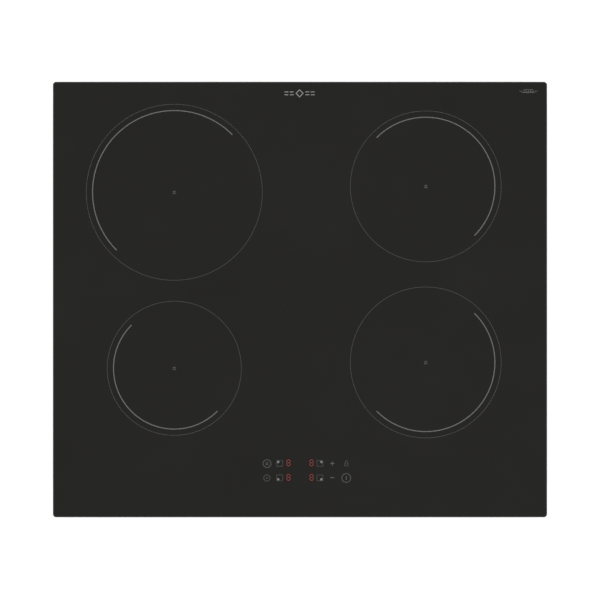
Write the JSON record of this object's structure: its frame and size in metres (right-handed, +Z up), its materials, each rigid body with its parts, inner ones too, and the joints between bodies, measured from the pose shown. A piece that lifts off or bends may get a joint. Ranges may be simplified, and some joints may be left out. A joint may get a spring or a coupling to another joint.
{
  "type": "built-in induction hob",
  "caption": "Built-in induction hob: a flat black glass-ceramic top with printed cooking zones and touch keys over a shallow vented steel case.",
  "frame": {"origin": "middle of the footprint at the underside of the case's pressed feet", "axes": "+X to the cook's right, +Y away from the cook to the rear, +Z up out of the glass; the touch keys are along the -Y edge"},
  "size_m": [0.59, 0.52, 0.06],
  "materials": {
    "glass_ceramic": "polished black glass-ceramic",
    "silicone": "black silicone adhesive",
    "foam": "closed-cell foam tape",
    "galvanised_steel": "hot-dip galvanised sheet",
    "zinc_screws": "zinc-plated",
    "bracket_steel": "zinc-plated sheet",
    "black_nylon": "moulded, fine texture",
    "white_nylon": "moulded natural nylon",
    "nickel_brass": "nickel-plated brass",
    "grommet_rubber": "moulded rubber",
    "carrier_aluminium": "mill finish sheet",
    "sink_aluminium": "extruded, mill finish",
    "spring_steel": "bright spring wire",
    "post_polymer": "glass-filled nylon",
    "former_polymer": "heat-resistant moulding",
    "litz_copper": "varnished litz wire",
    "mica": "pressed mica sheet",
    "ferrite": "sintered ferrite",
    "sensor_silicone": "thermal silicone",
    "circuit_board": "solder-masked laminate",
    "device_epoxy": "moulded epoxy",
    "capacitor_film": "epoxy-filled box",
    "enamelled_copper": "enamelled wire on a ferrite ring",
    "fan_polymer": "moulded, fine texture",
    "tray_polymer": "moulded",
    "display_polymer": "moulded with a clear face",
    "lead_jacket": "silicone sleeve",
    "ribbon_jacket": "flat cable"
  },
  "bodies": {
    "hob": {"glass_top": "glass_ceramic", "glass_adhesive": "silicone", "seal_strip": "foam", "bottom_case": "galvanised_steel", "mounting_rails": "galvanised_steel", "case_screws": "zinc_screws", "terminal_box": "black_nylon", "cable_clamp": "black_nylon", "terminal_block": "white_nylon", "board_sockets": "white_nylon", "board_spacers": "white_nylon", "terminal_screws": "nickel_brass", "coil_terminals": "nickel_brass", "cable_gland": "grommet_rubber", "heat_sink_left": "sink_aluminium", "heat_sink_right": "sink_aluminium", "carrier_springs_left": "spring_steel", "carrier_springs_right": "spring_steel", "touch_springs": "spring_steel", "spring_posts": "post_polymer", "power_board_left": "circuit_board", "power_board_right": "circuit_board", "filter_board": "circuit_board", "control_board": "circuit_board", "power_devices": "device_epoxy", "board_capacitors": "capacitor_film", "filter_parts": "capacitor_film", "board_inductors": "enamelled_copper", "fan_frame_left": "fan_polymer", "fan_frame_right": "fan_polymer", "control_tray": "tray_polymer", "displays": "display_polymer", "coil_leads_left": "lead_jacket", "coil_leads_right": "lead_jacket", "mains_leads": "lead_jacket", "board_leads": "lead_jacket", "control_ribbon": "ribbon_jacket"},
    "carrier_left": {"coil_carrier_left": "carrier_aluminium", "coil_former_rear_left": "former_polymer", "coil_former_front_left": "former_polymer", "coil_winding_rear_left": "litz_copper", "coil_winding_front_left": "litz_copper", "mica_discs_left": "mica", "ferrite_bars_left": "ferrite", "temperature_sensors_left": "sensor_silicone"},
    "rotor_left": {"fan_impeller_left": "fan_polymer"},
    "carrier_right": {"coil_carrier_right": "carrier_aluminium", "coil_former_rear_right": "former_polymer", "coil_former_front_right": "former_polymer", "coil_winding_rear_right": "litz_copper", "coil_winding_front_right": "litz_copper", "mica_discs_right": "mica", "ferrite_bars_right": "ferrite", "temperature_sensors_right": "sensor_silicone"},
    "rotor_right": {"fan_impeller_right": "fan_polymer"},
    "cover": {"terminal_cover": "black_nylon"},
    "clamp_front_left": {"bracket_front_left": "bracket_steel"},
    "clamp_front_right": {"bracket_front_right": "bracket_steel"},
    "clamp_rear_left": {"bracket_rear_left": "bracket_steel"},
    "clamp_rear_right": {"bracket_rear_right": "bracket_steel"}
  },
  "joints": [
    {"name": "fan_left_spin", "type": "hinge", "parent": "hob", "child": "rotor_left", "pos_m": [-0.138, 0.1192, 0.014], "axis": [0, 0, 1], "continuous": true},
    {"name": "fan_right_spin", "type": "hinge", "parent": "hob", "child": "rotor_right", "pos_m": [0.138, 0.1192, 0.014], "axis": [0, 0, 1], "continuous": true},
    {"name": "carrier_left_float", "type": "slide", "parent": "hob", "child": "carrier_left", "axis": [0, 0, -1], "range_m": [0, 0.003], "stiffness_N_per_m": 10000, "springref_m": -0.004, "deforming": ["carrier_springs_left", "coil_leads_left"]},
    {"name": "carrier_right_float", "type": "slide", "parent": "hob", "child": "carrier_right", "axis": [0, 0, -1], "range_m": [0, 0.003], "stiffness_N_per_m": 10000, "springref_m": -0.004, "deforming": ["carrier_springs_right", "coil_leads_right"]},
    {"name": "terminal_cover_hinge", "type": "hinge", "parent": "hob", "child": "cover", "pos_m": [0.2122, 0.1847, 0.0026], "axis": [-1, 0, 0], "range_deg": [0, 100]},
    {"name": "bracket_front_left_slide", "type": "slide", "parent": "hob", "child": "clamp_front_left", "axis": [0, 0, 1], "range_m": [-0.006, 0.011]},
    {"name": "bracket_front_right_slide", "type": "slide", "parent": "hob", "child": "clamp_front_right", "axis": [0, 0, 1], "range_m": [-0.006, 0.011]},
    {"name": "bracket_rear_left_slide", "type": "slide", "parent": "hob", "child": "clamp_rear_left", "axis": [0, 0, 1], "range_m": [-0.006, 0.011]},
    {"name": "bracket_rear_right_slide", "type": "slide", "parent": "hob", "child": "clamp_rear_right", "axis": [0, 0, 1], "range_m": [-0.006, 0.011]}
  ]
}
